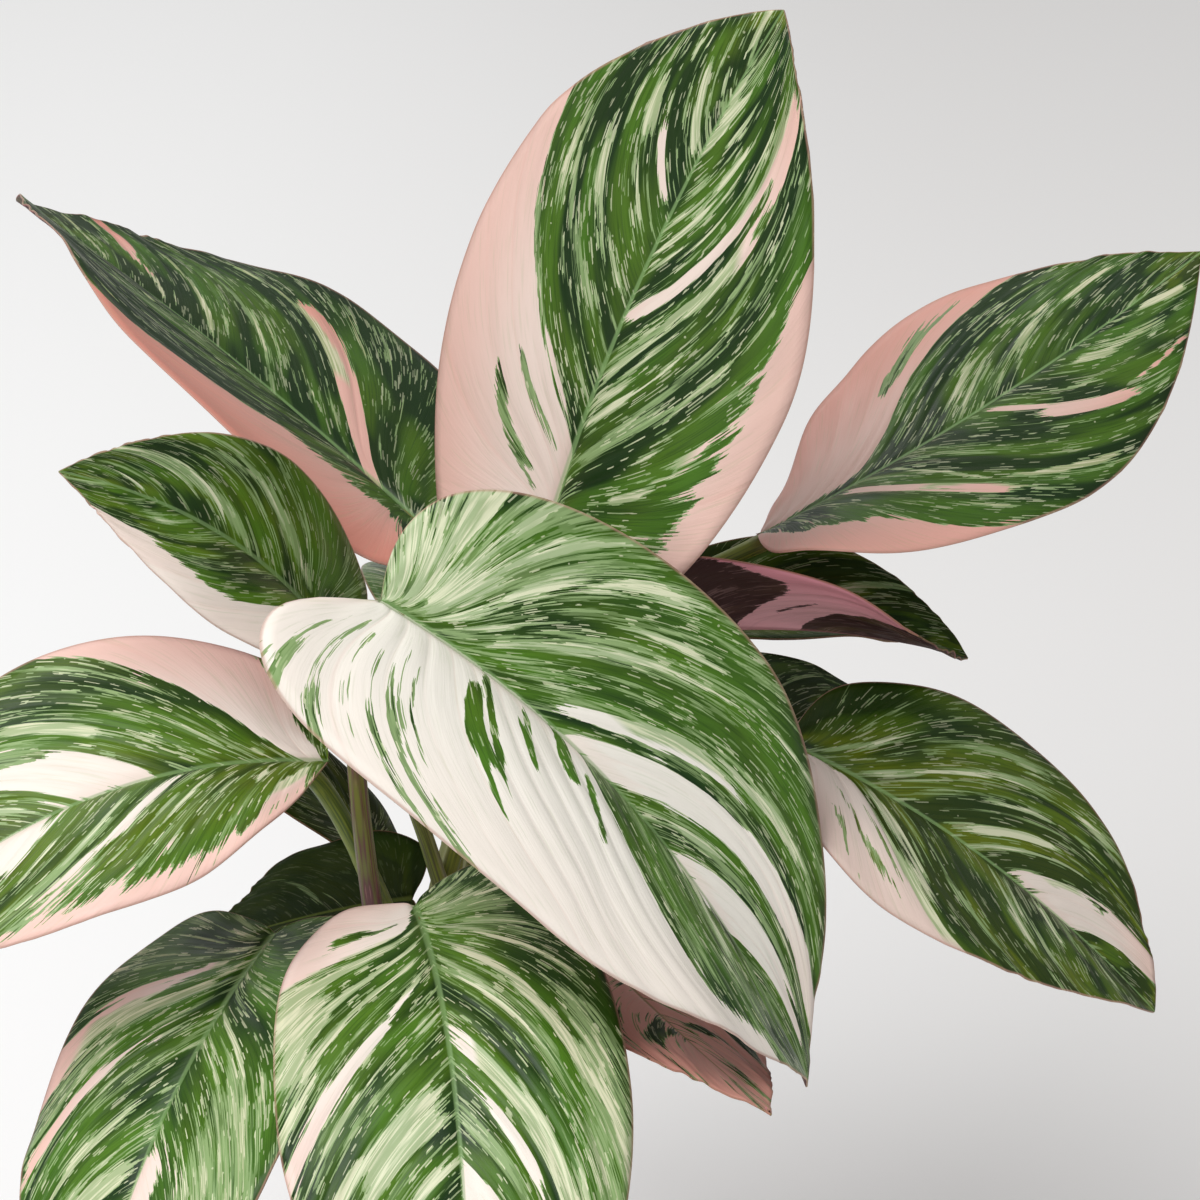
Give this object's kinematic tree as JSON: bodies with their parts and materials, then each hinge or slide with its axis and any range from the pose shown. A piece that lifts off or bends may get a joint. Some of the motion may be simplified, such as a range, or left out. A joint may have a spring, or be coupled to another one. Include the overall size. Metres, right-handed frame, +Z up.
{
  "type": "potted calathea",
  "caption": "House plant with broad pointed leaves, streaked cream, green and pink, on slim stalks that rise from soil in a plain round clay pot.",
  "frame": {"origin": "centre of the pot's flat underside", "axes": "+Z up along the pot's axis, -Y towards the side that the picture shows, +X to the right there"},
  "size_m": [0.3549, 0.3245, 0.4876],
  "materials": {
    "clay": "matte",
    "potting_soil": "matte",
    "leaf_blade": "satin",
    "leaf_stalk": "satin"
  },
  "bodies": {
    "root": {"pot": "clay", "soil": "potting_soil", "leaf_front_blade": "leaf_blade", "leaf_front_stalk": "leaf_stalk", "leaf_tall_blade": "leaf_blade", "leaf_tall_stalk": "leaf_stalk", "leaf_upper_left_blade": "leaf_blade", "leaf_upper_left_stalk": "leaf_stalk", "leaf_mid_left_blade": "leaf_blade", "leaf_mid_left_stalk": "leaf_stalk", "leaf_upper_right_blade": "leaf_blade", "leaf_upper_right_stalk": "leaf_stalk", "leaf_left_blade": "leaf_blade", "leaf_left_stalk": "leaf_stalk", "leaf_lower_left_blade": "leaf_blade", "leaf_lower_left_stalk": "leaf_stalk", "leaf_bottom_blade": "leaf_blade", "leaf_bottom_stalk": "leaf_stalk", "leaf_lower_right_blade": "leaf_blade", "leaf_lower_right_stalk": "leaf_stalk", "leaf_right_folded_blade": "leaf_blade", "leaf_right_folded_stalk": "leaf_stalk", "leaf_right_small_blade": "leaf_blade", "leaf_right_small_stalk": "leaf_stalk", "leaf_under_front_blade": "leaf_blade", "leaf_under_front_stalk": "leaf_stalk", "leaf_right_dark_blade": "leaf_blade", "leaf_right_dark_stalk": "leaf_stalk", "leaf_crown_dark_blade": "leaf_blade", "leaf_crown_dark_stalk": "leaf_stalk", "leaf_crown_olive_blade": "leaf_blade", "leaf_crown_olive_stalk": "leaf_stalk", "leaf_back_blade": "leaf_blade", "leaf_back_stalk": "leaf_stalk", "leaf_back_left_blade": "leaf_blade", "leaf_back_left_stalk": "leaf_stalk", "leaf_back_right_blade": "leaf_blade", "leaf_back_right_stalk": "leaf_stalk"}
  },
  "joints": []
}
